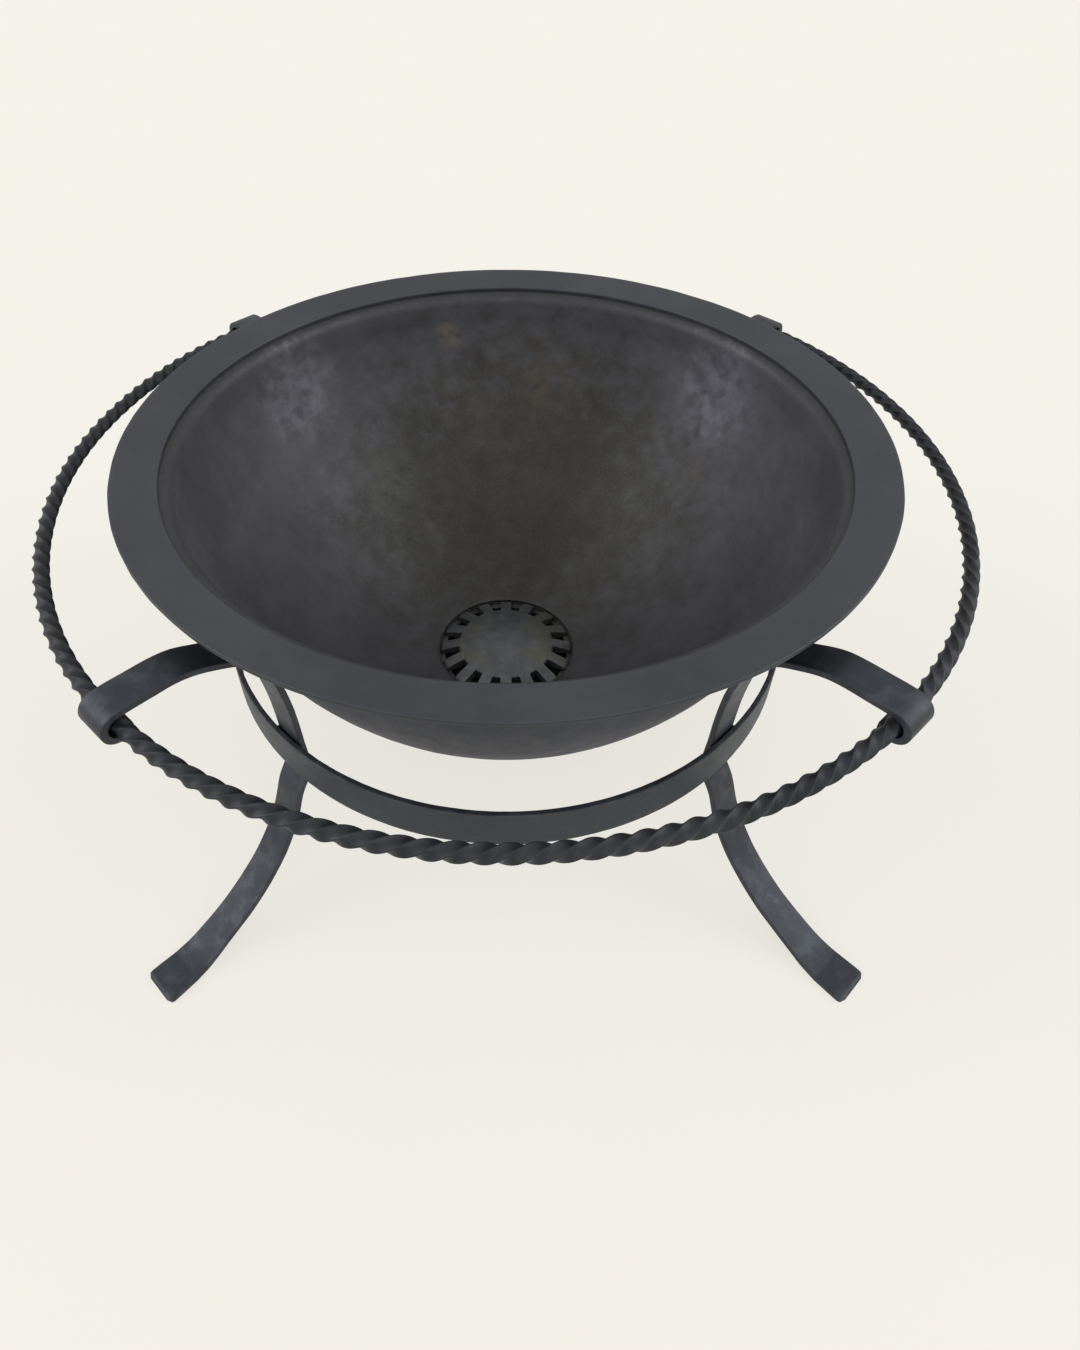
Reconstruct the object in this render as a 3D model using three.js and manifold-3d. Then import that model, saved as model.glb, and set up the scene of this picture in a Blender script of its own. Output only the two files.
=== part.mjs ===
// Coal forge: a deep dished hearth on a hand-forged four-legged stand.
// Millimetres, +Z up, floor at Z = 0, front of the forge toward -Y.
import * as THREE from 'three';
import Module from 'manifold-3d';
import { mergeVertices } from 'three/addons/utils/BufferGeometryUtils.js';

// ---------------------------------------------------------------- driving dimensions
const GAP = 0.3;               // clearance between neighbouring pieces
const SEGMENTS = 56;           // facets round the large turned pieces

const RIM_TOP = 455;           // height of the outer edge of the rim
const RIM_RADIUS = 400;        // outer radius of the rim
const RIM_INNER = 356;         // radius of the open mouth
const RIM_THICK = 5;
const RIM_DIP = 8;             // the rim slopes in toward the dish by this much

const DISH_RADIUS = 348;       // outside radius of the dish at its shoulder
const DISH_DEPTH = 348;        // outside depth below the shoulder
const DISH_POWER = 1.9;        // 2 is an ellipse, less is a slightly pointed one
const DISH_WALL = 3;
const SHOULDER = RIM_TOP - 13; // height where the dish wall meets its turned-out lip
const LIP_RADIUS = 380;        // the lip runs out under the rim to here
const THROAT = 87;             // radius of the hole in the bottom of the dish

const POT_OUTER = 85;          // air pot under the throat
const POT_WALL = 5;
const POT_FLANGE = 110;        // welding flange of the pot, against the dish
const POT_FLANGE_THICK = 4;
const POT_LEDGE = 103;         // height of the ledge that carries the grate
const POT_BOTTOM = 42;

const GRATE_TEETH = 16;
const GRATE_TIP = 86;
const GRATE_ROOT = 62;
const GRATE_EDGE = 6;          // thickness at the teeth
const GRATE_RISE = 16;         // height of the dome above the teeth

const BASE_THICK = 5;          // bottom plate of the pot
const ASH_HOLE = 45;
const GATE_WIDTH = 104;
const GATE_THICK = 4;
const GATE_BACK = 58;
const GATE_FRONT = 96;
const GATE_LIP = 14;           // height of the turned-up pull
const RAIL_LENGTH = 132;
const RAIL_WALL = 6;
const RAIL_SHELF = 6;
const RAIL_SHELF_THICK = 4;

const PIPE_OUTER = 24;         // air pipe, blower side at the back
const PIPE_WALL = 3;
const PIPE_HEIGHT = 72;
const PIPE_END = 230;
const FLANGE_RADIUS = 44;
const FLANGE_THICK = 6;
const BOLT_CIRCLE = 34;
const BOLT_HOLE = 4.5;
const BOLT_COUNT = 4;

const FRONT_AZIMUTH = 41.6;    // a front leg meets the ring this far round from the front
const REAR_AZIMUTH = 48.5;     // and a rear leg this far round from the back
const WAIST_LEAN = 1.9;        // degrees further round at the waist
const FOOT_LEAN = 1.2;         // and at the foot
const LEG_WIDTH = 36;
const LEG_THICK = 7;
const FOOT_WIDTH = 44;
const FOOT_RADIUS = 540;       // tip of the foot
const FOOT_FLAT = 34;          // length of the flat sole
const LEAN_START = 400;        // the lean begins at this height
const LEG_STATIONS = 64;       // sections along the bent part of a leg

const HOOP_OUTER = 332;
const HOOP_THICK = 6;
const HOOP_HEIGHT = 50;
const HOOP_TOP = 229;

const RING_RADIUS = 473;       // centre line of the twisted ring
const RING_HEIGHT = 405;
const RING_BAR = 12;           // square bar, before twisting
const RING_TURNS = 39;
const STATIONS_PER_TURN = 8;

const SCROLL_START = -150;     // the leg's end curls round the ring between these angles
const SCROLL_END = 72;
const SCROLL_STEP = 37;

// ---------------------------------------------------------------- colours
const blackSteel = { color: 0x45484d, roughness: 0.55, metalness: 0.6 };
const dishSteel = { color: 0x3c3b39, roughness: 0.5, metalness: 0.6 };
const grateIron = { color: 0x4b4b48, roughness: 0.6, metalness: 0.5 };
const potSteel = { color: 0x2f2e2d, roughness: 0.8, metalness: 0.4 };

const wasm = await Module();
wasm.setup();

// ---------------------------------------------------------------- helpers
function part(name, geometry, finish) {
  const mesh = new THREE.Mesh(geometry, new THREE.MeshStandardMaterial(finish));
  mesh.name = name;
  return mesh;
}

// A turned solid: points are [radius, height], closed back to the first one.
function turned(points, segments = SEGMENTS) {
  const profile = points.map(([r, z]) => new THREE.Vector2(r, z));
  profile.push(profile[0].clone());
  return new THREE.LatheGeometry(profile, segments).rotateX(Math.PI / 2);
}

function block(sx, sy, sz, x, y, z) {
  return new THREE.BoxGeometry(sx, sy, sz).translate(x, y, z);
}

function solid(geometry) {
  const bare = geometry.clone();
  bare.deleteAttribute('normal');
  bare.deleteAttribute('uv');
  const welded = mergeVertices(bare, 1e-4);
  return new wasm.Manifold(new wasm.Mesh({
    numProp: 3,
    vertProperties: new Float32Array(welded.attributes.position.array),
    triVerts: new Uint32Array(welded.index.array),
  }));
}

function geometryOf(body) {
  const mesh = body.getMesh();
  const geometry = new THREE.BufferGeometry();
  geometry.setAttribute('position', new THREE.BufferAttribute(mesh.vertProperties, 3));
  geometry.setIndex(new THREE.BufferAttribute(mesh.triVerts, 1));
  const flat = geometry.toNonIndexed();
  flat.computeVertexNormals();
  return flat;
}

function cut(geometry, tools) {
  return geometryOf(tools.reduce((body, tool) => body.subtract(solid(tool)), solid(geometry)));
}

// A closed skin over rings of points; closed loops join the last ring to the first.
function skin(rings, loop) {
  const count = rings[0].length;
  const index = [];
  const last = loop ? rings.length : rings.length - 1;
  for (let k = 0; k < last; k += 1) {
    const a = k * count;
    const b = ((k + 1) % rings.length) * count;
    for (let j = 0; j < count; j += 1) {
      const n = (j + 1) % count;
      index.push(a + j, b + n, a + n, a + j, b + j, b + n);
    }
  }
  if (!loop) {
    const end = (rings.length - 1) * count;
    for (let j = 1; j < count - 1; j += 1) {
      index.push(0, j, j + 1, end, end + j + 1, end + j);
    }
  }
  const geometry = new THREE.BufferGeometry();
  geometry.setAttribute('position', new THREE.Float32BufferAttribute(rings.flat(2), 3));
  geometry.setIndex(index);
  const flat = geometry.toNonIndexed();
  flat.computeVertexNormals();
  return flat;
}

// ---------------------------------------------------------------- hearth
// Height of the dish's outer face at a radius, and of its inner face.
function dishUnder(r) {
  const share = 1 - (r / DISH_RADIUS) ** DISH_POWER;
  return SHOULDER - DISH_DEPTH * share ** (1 / DISH_POWER);
}

function dishFace(offset, from, steps) {
  const points = [];
  const radius = DISH_RADIUS - offset;
  const depth = DISH_DEPTH - offset;
  const start = Math.acos((from / radius) ** (DISH_POWER / 2));
  for (let k = 0; k <= steps; k += 1) {
    const t = start * (1 - k / steps);
    points.push([
      radius * Math.cos(t) ** (2 / DISH_POWER),
      SHOULDER - depth * Math.sin(t) ** (2 / DISH_POWER),
    ]);
  }
  return points;
}

function rimUnder(r) {
  const slope = RIM_DIP / (RIM_RADIUS - RIM_INNER);
  return RIM_TOP - RIM_THICK - (RIM_RADIUS - r) * slope;
}

function dish() {
  const outside = dishFace(0, THROAT, 11);
  const inside = dishFace(DISH_WALL, THROAT, 11).reverse();
  const lipTop = (r) => rimUnder(r) - GAP;
  const lip = [
    [DISH_RADIUS + 3, SHOULDER - 3 + lipTop(DISH_RADIUS) - SHOULDER],
    [LIP_RADIUS, lipTop(LIP_RADIUS) - DISH_WALL],
    [LIP_RADIUS, lipTop(LIP_RADIUS)],
    [DISH_RADIUS + 5, lipTop(DISH_RADIUS + 5)],
    [DISH_RADIUS + 1, lipTop(DISH_RADIUS + 1) - 1.2],
  ];
  return part('dish', turned([...outside.slice(0, -1), ...lip, ...inside.slice(1)]), dishSteel);
}

function rim() {
  const top = (r) => rimUnder(r) + RIM_THICK;
  return part('rim', turned([
    [RIM_INNER, top(RIM_INNER)],
    [RIM_INNER, rimUnder(RIM_INNER)],
    [RIM_RADIUS, rimUnder(RIM_RADIUS)],
    [RIM_RADIUS, top(RIM_RADIUS)],
  ]), blackSteel);
}

function airPot() {
  const inner = POT_OUTER - POT_WALL;
  const seat = THROAT - 0.5;
  const body = turned([
    [inner, POT_BOTTOM],
    [POT_OUTER, POT_BOTTOM],
    [POT_OUTER, POT_LEDGE - 3],
    [POT_FLANGE, dishUnder(POT_FLANGE) - GAP - POT_FLANGE_THICK],
    [POT_FLANGE, dishUnder(POT_FLANGE) - GAP],
    [seat, dishUnder(seat) - GAP],
    [seat, POT_LEDGE],
    [inner, POT_LEDGE],
  ], 48);
  const bore = new THREE.CylinderGeometry(
    PIPE_OUTER - PIPE_WALL, PIPE_OUTER - PIPE_WALL, POT_OUTER, 24,
  ).translate(0, POT_OUTER, PIPE_HEIGHT);
  return part('air_pot', cut(body, [bore]), potSteel);
}

function grate() {
  const rise = (r) => GRATE_EDGE + GRATE_RISE * (1 - (r / GRATE_TIP) ** 2);
  const steps = 7;
  const top = [];
  for (let k = 0; k <= steps; k += 1) {
    const r = GRATE_TIP * (1 - k / steps);
    top.push([r, rise(r)]);
  }
  const under = [[0, GRATE_RISE * 0.8], [GRATE_ROOT * 0.8, 2], [GRATE_TIP * 0.9, 0], [GRATE_TIP, 0]];
  const body = turned([...under, ...top.slice(0, -1), [0, rise(0)]], 64);
  const slots = [];
  for (let k = 0; k < GRATE_TEETH; k += 1) {
    const turn = ((k + 0.5) / GRATE_TEETH) * 2 * Math.PI;
    const width = (Math.PI * GRATE_ROOT) / GRATE_TEETH;
    const shape = new THREE.Shape();
    shape.moveTo(GRATE_TIP + 10, -width * 0.75);
    shape.lineTo(GRATE_TIP + 10, width * 0.75);
    shape.lineTo(GRATE_ROOT + width / 2, width / 2);
    shape.absarc(GRATE_ROOT + width / 2, 0, width / 2, Math.PI / 2, 1.5 * Math.PI, false);
    const slot = new THREE.ExtrudeGeometry(shape, { depth: 40, bevelEnabled: false, curveSegments: 4 });
    slots.push(slot.translate(0, 0, -10).rotateZ(turn));
  }
  const mesh = part('grate', cut(body, slots), grateIron);
  mesh.position.z = POT_LEDGE + GAP;
  return mesh;
}

function potBase() {
  const top = POT_BOTTOM - GAP;
  return part('pot_base', turned([
    [ASH_HOLE, top - BASE_THICK], [POT_OUTER, top - BASE_THICK], [POT_OUTER, top], [ASH_HOLE, top],
  ], 40), potSteel);
}

const gateTop = POT_BOTTOM - GAP - BASE_THICK - GAP;

function ashGate() {
  const plate = block(
    GATE_WIDTH, GATE_BACK + GATE_FRONT, GATE_THICK,
    0, (GATE_BACK - GATE_FRONT) / 2, gateTop - GATE_THICK / 2,
  );
  const lip = block(
    GATE_WIDTH * 0.5, GATE_THICK, GATE_LIP + GATE_THICK,
    0, GATE_THICK / 2 - GATE_FRONT, gateTop + (GATE_LIP - GATE_THICK) / 2,
  );
  return part('ash_gate', geometryOf(solid(plate).add(solid(lip))), potSteel);
}

function gateRail(name, side) {
  const inner = GATE_WIDTH / 2 + GAP;
  const shelfTop = gateTop - GATE_THICK - GAP;
  const outline = new THREE.Shape();
  outline.moveTo(inner, gateTop);
  outline.lineTo(inner, shelfTop);
  outline.lineTo(inner - RAIL_SHELF, shelfTop);
  outline.lineTo(inner - RAIL_SHELF, shelfTop - RAIL_SHELF_THICK);
  outline.lineTo(inner + RAIL_WALL, shelfTop - RAIL_SHELF_THICK);
  outline.lineTo(inner + RAIL_WALL, gateTop);
  const rail = new THREE.ExtrudeGeometry(outline, { depth: RAIL_LENGTH, bevelEnabled: false });
  rail.rotateX(Math.PI / 2).translate(0, RAIL_LENGTH / 2, 0);
  if (side < 0) rail.rotateZ(Math.PI);
  return part(name, rail, potSteel);
}

function airPipe() {
  const length = PIPE_END - POT_OUTER / 2;
  const tube = turned([
    [PIPE_OUTER - PIPE_WALL, 0], [PIPE_OUTER, 0], [PIPE_OUTER, length], [PIPE_OUTER - PIPE_WALL, length],
  ], 28);
  tube.rotateX(-Math.PI / 2).translate(0, PIPE_END - length, PIPE_HEIGHT);
  const pot = new THREE.CylinderGeometry(POT_OUTER + GAP, POT_OUTER + GAP, RIM_TOP, 48);
  pot.rotateX(Math.PI / 2);
  return part('air_pipe', cut(tube, [pot]), potSteel);
}

function blowerFlange() {
  const disc = turned([
    [PIPE_OUTER - PIPE_WALL, 0], [FLANGE_RADIUS, 0],
    [FLANGE_RADIUS, FLANGE_THICK], [PIPE_OUTER - PIPE_WALL, FLANGE_THICK],
  ], 40);
  const holes = [];
  for (let k = 0; k < BOLT_COUNT; k += 1) {
    const turn = ((k + 0.5) / BOLT_COUNT) * 2 * Math.PI;
    const drill = new THREE.CylinderGeometry(BOLT_HOLE, BOLT_HOLE, FLANGE_THICK * 4, 12);
    holes.push(drill.rotateX(Math.PI / 2)
      .translate(BOLT_CIRCLE * Math.cos(turn), BOLT_CIRCLE * Math.sin(turn), 0));
  }
  const geometry = cut(disc, holes).rotateX(-Math.PI / 2);
  return part('blower_flange', geometry.translate(0, PIPE_END + GAP, PIPE_HEIGHT), potSteel);
}

// ---------------------------------------------------------------- stand
// Centre line of a leg as [radius, height]: the scroll round the ring, the arch,
// the waist behind the hoop, the outward sweep and the flat sole.
function legLine() {
  const scroll = RING_BAR * Math.SQRT1_2 + LEG_THICK / 2 + 2 * GAP;
  const points = [];
  for (let angle = SCROLL_START; angle <= SCROLL_END; angle += SCROLL_STEP) {
    const turn = THREE.MathUtils.degToRad(angle);
    points.push([RING_RADIUS + scroll * Math.cos(turn), RING_HEIGHT + scroll * Math.sin(turn)]);
  }
  const hoopFlat = (HOOP_OUTER - HOOP_THICK) * Math.cos(Math.PI / SEGMENTS);
  const waist = Math.sqrt(hoopFlat ** 2 - (LEG_WIDTH / 2) ** 2) - 2 * GAP - LEG_THICK / 2;
  points.push(
    [446, 417], [412, 413.5], [384, 401], [360, 385], [341.5, 357], [331, 320], [324, 276],
    [waist, HOOP_TOP], [waist, HOOP_TOP - HOOP_HEIGHT],
    [336, 152], [351, 116], [380, 74], [424, 37], [470, 14], [490, 6.5],
    [FOOT_RADIUS - FOOT_FLAT, LEG_THICK / 2],
  );
  return points;
}

// How far round a leg has swung, in radians, at a height on its way down.
function leanAt(z) {
  const hoopFoot = HOOP_TOP - HOOP_HEIGHT;
  const waist = WAIST_LEAN * (1 - THREE.MathUtils.smoothstep(z, HOOP_TOP, LEAN_START));
  const low = (FOOT_LEAN - WAIST_LEAN) * THREE.MathUtils.clamp(1 - z / hoopFoot, 0, 1);
  return THREE.MathUtils.degToRad(waist + low);
}

function leg(name, azimuth, hand) {
  const curve = new THREE.CatmullRomCurve3(
    legLine().map(([r, z]) => new THREE.Vector3(r, 0, z)), false, 'centripetal',
  );
  const rings = [];
  const station = (at, along) => {
    const flare = THREE.MathUtils.smoothstep(at.x, FOOT_RADIUS - 3 * FOOT_FLAT, FOOT_RADIUS);
    const half = THREE.MathUtils.lerp(LEG_WIDTH, FOOT_WIDTH, at.z < HOOP_TOP ? flare : 0) / 2;
    const nx = -along.z * (LEG_THICK / 2);
    const nz = along.x * (LEG_THICK / 2);
    const lean = hand * leanAt(at.z);
    const corner = (r, across, z) => [
      r * Math.cos(lean) - across * Math.sin(lean), r * Math.sin(lean) + across * Math.cos(lean), z,
    ];
    rings.push([
      corner(at.x + nx, -half, at.z + nz), corner(at.x + nx, half, at.z + nz),
      corner(at.x - nx, half, at.z - nz), corner(at.x - nx, -half, at.z - nz),
    ]);
  };
  for (let k = 0; k < LEG_STATIONS; k += 1) {
    station(curve.getPoint(k / LEG_STATIONS), curve.getTangent(k / LEG_STATIONS));
  }
  const level = new THREE.Vector3(1, 0, 0);
  for (let k = 0; k <= 2; k += 1) {
    station(new THREE.Vector3(FOOT_RADIUS - FOOT_FLAT * (1 - k / 2), 0, LEG_THICK / 2), level);
  }
  const mesh = part(name, skin(rings, false), blackSteel);
  mesh.rotation.z = THREE.MathUtils.degToRad(azimuth);
  return mesh;
}

function waistHoop() {
  const inner = HOOP_OUTER - HOOP_THICK;
  return part('waist_hoop', turned([
    [inner, HOOP_TOP - HOOP_HEIGHT], [HOOP_OUTER, HOOP_TOP - HOOP_HEIGHT],
    [HOOP_OUTER, HOOP_TOP], [inner, HOOP_TOP],
  ]), blackSteel);
}

function twistedRing() {
  const stations = RING_TURNS * STATIONS_PER_TURN;
  const corner = RING_BAR * Math.SQRT1_2;
  const rings = [];
  for (let k = 0; k < stations; k += 1) {
    const round = (k / stations) * 2 * Math.PI;
    const twist = (k / STATIONS_PER_TURN) * 2 * Math.PI;
    const ring = [];
    for (let j = 0; j < 4; j += 1) {
      const turn = twist + (j * Math.PI) / 2;
      const r = RING_RADIUS + corner * Math.cos(turn);
      ring.push([r * Math.cos(round), r * Math.sin(round), RING_HEIGHT + corner * Math.sin(turn)]);
    }
    rings.push(ring);
  }
  return part('twisted_ring', skin(rings, true), blackSteel);
}

// ---------------------------------------------------------------- assembly
const stand = new THREE.Group();
stand.name = 'stand';
stand.add(
  leg('leg_front_left', -90 - FRONT_AZIMUTH, -1),
  leg('leg_front_right', -90 + FRONT_AZIMUTH, 1),
  leg('leg_rear_left', 90 + REAR_AZIMUTH, 1),
  leg('leg_rear_right', 90 - REAR_AZIMUTH, -1),
  waistHoop(),
  twistedRing(),
);

const hearth = new THREE.Group();
hearth.name = 'hearth';
hearth.add(
  dish(),
  rim(),
  airPot(),
  grate(),
  potBase(),
  ashGate(),
  gateRail('gate_rail_left', -1),
  gateRail('gate_rail_right', 1),
  airPipe(),
  blowerFlange(),
);

const forge = new THREE.Group();
forge.name = 'coal_forge';
forge.add(stand, hearth);

export default forge;
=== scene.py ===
"""Coal forge: the looks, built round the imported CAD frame. Metres, +Z up, front toward -Y."""
import math

import bmesh
import bpy
import numpy as np
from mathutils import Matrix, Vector, kdtree, noise


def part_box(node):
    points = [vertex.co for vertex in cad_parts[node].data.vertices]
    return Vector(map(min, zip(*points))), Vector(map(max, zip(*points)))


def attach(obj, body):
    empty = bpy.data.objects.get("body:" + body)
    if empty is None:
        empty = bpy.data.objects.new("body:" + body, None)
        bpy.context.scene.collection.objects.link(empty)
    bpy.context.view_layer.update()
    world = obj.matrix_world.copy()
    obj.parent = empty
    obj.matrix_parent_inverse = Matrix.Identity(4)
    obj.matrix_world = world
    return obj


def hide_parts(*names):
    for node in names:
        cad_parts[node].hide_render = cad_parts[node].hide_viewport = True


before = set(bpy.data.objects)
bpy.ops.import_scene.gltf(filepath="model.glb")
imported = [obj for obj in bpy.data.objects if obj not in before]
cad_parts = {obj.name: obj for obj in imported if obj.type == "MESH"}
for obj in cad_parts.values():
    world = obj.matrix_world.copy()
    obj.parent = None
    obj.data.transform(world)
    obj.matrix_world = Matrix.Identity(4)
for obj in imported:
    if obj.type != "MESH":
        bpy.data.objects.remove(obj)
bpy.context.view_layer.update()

MM = 0.001
TAU = 2 * math.pi
rng = np.random.default_rng(7)


def lin(hex_colour):
    """Linear RGBA of an sRGB hex colour."""
    out = []
    for k in (0, 2, 4):
        c = int(hex_colour[k:k + 2], 16) / 255
        out.append(c / 12.92 if c <= 0.04045 else ((c + 0.055) / 1.055) ** 2.4)
    return (*out, 1.0)


# ------------------------------------------------------------ sizes from the frame
rim_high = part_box("rim")[1]
dish_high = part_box("dish")[1]
hoop_low, hoop_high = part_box("waist_hoop")
ring_low, ring_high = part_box("twisted_ring")
pot_low, pot_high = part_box("air_pot")
base_low, base_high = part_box("pot_base")
pipe_low, pipe_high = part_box("air_pipe")
flange_low, flange_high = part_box("blower_flange")
grate_low, grate_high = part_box("grate")

GAP = 0.3 * MM                # clearance between neighbouring pieces, as in the CAD

RIM_RADIUS = rim_high.x
RIM_TOP = rim_high.z
RIM_INNER = 356 * MM          # radius of the open mouth
RIM_THICK = 5 * MM
RIM_DIP = 8 * MM              # the rim slopes in toward the dish by this much

DISH_RADIUS = 348 * MM
DISH_DEPTH = 348 * MM
DISH_POWER = 1.9              # 2 is an ellipse, less is a slightly pointed one
DISH_WALL = 3 * MM
SHOULDER = RIM_TOP - 13 * MM  # height where the dish wall meets its turned-out lip
LIP_RADIUS = dish_high.x
THROAT = 87 * MM              # radius of the hole in the bottom of the dish

RING_BAR = 12 * MM
RING_CORNER = RING_BAR * math.sqrt(0.5)
RING_RADIUS = ring_high.x - RING_CORNER
RING_HEIGHT = (ring_low.z + ring_high.z) / 2
RING_TURNS = 39               # full turns of twist round the ring

HOOP_OUTER = hoop_high.x
HOOP_THICK = 6 * MM
CAD_FACETS = 56               # facets round the large turned pieces of the CAD

FRONT_AZIMUTH = 41.6          # degrees round from the front, where a front leg meets the ring
REAR_AZIMUTH = 48.5           # and a rear leg, round from the back
WAIST_LEAN = 1.9              # degrees further round at the waist
FOOT_LEAN = 1.2               # and at the foot
LEAN_START = 400 * MM         # the lean begins at this height
LEG_WIDTH = 36 * MM
LEG_THICK = 7 * MM
FOOT_WIDTH = 44 * MM
FOOT_RADIUS = 540 * MM        # tip of the foot
FOOT_FLAT = 34 * MM           # length of the flat sole

POT_OUTER = 85 * MM
POT_WALL = 5 * MM
POT_FLANGE = pot_high.x
POT_LEDGE = 103 * MM
ASH_HOLE = 45 * MM            # radius of the ash outlet
PIPE_OUTER = pipe_high.x
PIPE_WALL = 3 * MM
PIPE_HEIGHT = (pipe_low.z + pipe_high.z) / 2
FLANGE_RADIUS = flange_high.x
BOLT_CIRCLE = 34 * MM
BOLT_HOLE = 4.5 * MM

GRATE_TEETH = 16
GRATE_TIP = grate_high.x
GRATE_ROOT = 62 * MM
GRATE_EDGE = 6 * MM           # thickness at the teeth
GRATE_RISE = grate_high.z - grate_low.z - GRATE_EDGE


# ------------------------------------------------------------ mesh helpers
ROUND = 420                   # facets round the dish and the rim
TIGHT_CORNER = 2.5 * MM       # a corner with a smaller radius than this gets rubbed bright


def ease(t):
    """From 0 to 1 with a soft start and a soft end."""
    return t * t * (3 - 2 * t)


def new_object(name, verts, faces, wear=None):
    """A smooth-shaded mesh object. Wear, at each vertex, is 1 where an edge is rubbed bright."""
    mesh = bpy.data.meshes.new(name)
    mesh.from_pydata(np.asarray(verts).tolist(), [], faces)
    mesh.validate()
    if wear is not None:
        layer = mesh.attributes.new("wear", "FLOAT", "POINT")
        layer.data.foreach_set("value", np.asarray(wear, np.float32))
    mesh.shade_smooth()
    mesh.update()
    obj = bpy.data.objects.new(name, mesh)
    bpy.context.scene.collection.objects.link(obj)
    return obj


def band(a, b, points):
    """The quads between two rings of points. Their first vertices are a and b."""
    j = np.arange(points)
    n = (j + 1) % points
    return np.stack([a + j, a + n, b + n, b + j], 1).tolist()


def loft(name, rings, loop, wear=None):
    """A skin over rings of points, K x N x 3. A closed loop joins the last ring to the first."""
    rings = np.asarray(rings, float)
    count, points = rings.shape[:2]
    faces = []
    for k in range(count if loop else count - 1):
        faces.extend(band(k * points, (k + 1) % count * points, points))
    if not loop:
        faces.append(list(range(points - 1, -1, -1)))
        faces.append([(count - 1) * points + q for q in range(points)])
    flat = rings.reshape(-1, 3)
    return new_object(name, flat, faces, None if wear is None else np.asarray(wear).reshape(-1))


def outward(obj):
    """Turns every face to point out of the solid."""
    bm = bmesh.new()
    bm.from_mesh(obj.data)
    bmesh.ops.recalc_face_normals(bm, faces=bm.faces)
    if bm.calc_volume(signed=True) < 0:
        bmesh.ops.reverse_faces(bm, faces=bm.faces)
    bm.to_mesh(obj.data)
    bm.free()
    obj.data.shade_smooth()
    return obj


def circle(radius, height, count=360):
    """A level ring of points round the axis of the forge."""
    turn = np.arange(count) / count * TAU
    return np.stack([radius * np.cos(turn), radius * np.sin(turn), np.full(count, height)], 1)


def upright_circle(radius, x, y, z, count):
    """A ring of points that faces along Y, round the centre x, y, z."""
    turn = np.arange(count) / count * TAU
    return np.stack([x + radius * np.cos(turn), np.full(count, y), z + radius * np.sin(turn)], 1)


def rounded(corners, steps=5):
    """A closed outline of (x, y, radius) corners, each rounded by a short curve, with its edge wear."""
    points, wear = [], []
    count = len(corners)
    for k in range(count):
        p = np.array(corners[k][:2], float)
        radius = corners[k][2]
        if radius <= 0:
            points.append(p)
            wear.append(0.0)
            continue
        a = np.array(corners[k - 1][:2], float) - p
        b = np.array(corners[(k + 1) % count][:2], float) - p
        reach_a = min(radius, np.linalg.norm(a) * 0.49)
        reach_b = min(radius, np.linalg.norm(b) * 0.49)
        start = p + a / np.linalg.norm(a) * reach_a
        end = p + b / np.linalg.norm(b) * reach_b
        for s in range(steps + 1):
            t = s / steps
            points.append((1 - t) ** 2 * start + 2 * t * (1 - t) * p + t * t * end)
            wear.append(1.0 if radius < TIGHT_CORNER else 0.0)
    return np.array(points), np.array(wear)


def dense(points, wear, step):
    """The outline again, with long edges divided to about one step."""
    out, worn = [], []
    count = len(points)
    for k in range(count):
        a, b = points[k], points[(k + 1) % count]
        parts = max(1, int(round(np.linalg.norm(b - a) / step)))
        for s in range(parts):
            out.append(a + (b - a) * (s / parts))
            worn.append(wear[k] if s == 0 else 0.0)
    return np.array(out), np.array(worn)


def turned(name, outline, wear, segments):
    """A solid of revolution: the outline is (radius, height) points, closed back to the first one."""
    angle = np.arange(segments) / segments * TAU
    r, z = outline[:, 0], outline[:, 1]
    rings = np.stack([
        np.outer(np.cos(angle), r), np.outer(np.sin(angle), r), np.tile(z, (segments, 1)),
    ], 2)
    return outward(loft(name, rings, True, np.tile(wear, (segments, 1))))


def vertex_arrays(obj):
    """The places and the normals of the vertices."""
    mesh = obj.data
    co = np.empty(len(mesh.vertices) * 3)
    mesh.vertices.foreach_get("co", co)
    no = np.empty(len(mesh.vertices) * 3)
    mesh.vertices.foreach_get("normal", no)
    return co.reshape(-1, 3), no.reshape(-1, 3)


def set_points(obj, co):
    obj.data.vertices.foreach_set("co", co.ravel())
    obj.data.update()


def push(obj, amount):
    """Moves each vertex along its normal by amount."""
    co, no = vertex_arrays(obj)
    set_points(obj, co + no * np.asarray(amount)[:, None])


def waves(points, size, seed):
    """Smooth noise, about -1 to 1, with features of that size."""
    shift = Vector((seed * 3.1, seed * 1.7, seed * 5.3))
    return np.array([noise.noise(Vector(p) / size + shift) for p in points])


def hammered(obj, spacing, depth, share=1.0):
    """Overlapping shallow hammer marks: each point is as low as its distance from the nearest blow.

    Share, from 0 to 1 at each vertex, fades the marks out where the surface has to stay true.
    """
    co, _ = vertex_arrays(obj)
    area = sum(p.area for p in obj.data.polygons)
    count = max(8, int(area / (spacing * spacing * 0.8)))
    blows = co[rng.choice(len(co), size=count, replace=True)]
    tree = kdtree.KDTree(count)
    for k, p in enumerate(blows):
        tree.insert(Vector(p), k)
    tree.balance()
    strength = rng.uniform(0.5, 1.0, count)
    amount = np.empty(len(co))
    for k, p in enumerate(co):
        _, index, distance = tree.find(Vector(p))
        amount[k] = -depth * strength[index] * max(0.0, 1 - (distance / spacing) ** 2)
    push(obj, amount * share)


def apply_modifiers(obj):
    graph = bpy.context.evaluated_depsgraph_get()
    mesh = bpy.data.meshes.new_from_object(obj.evaluated_get(graph))
    obj.modifiers.clear()
    obj.data = mesh
    obj.data.shade_smooth()


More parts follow.
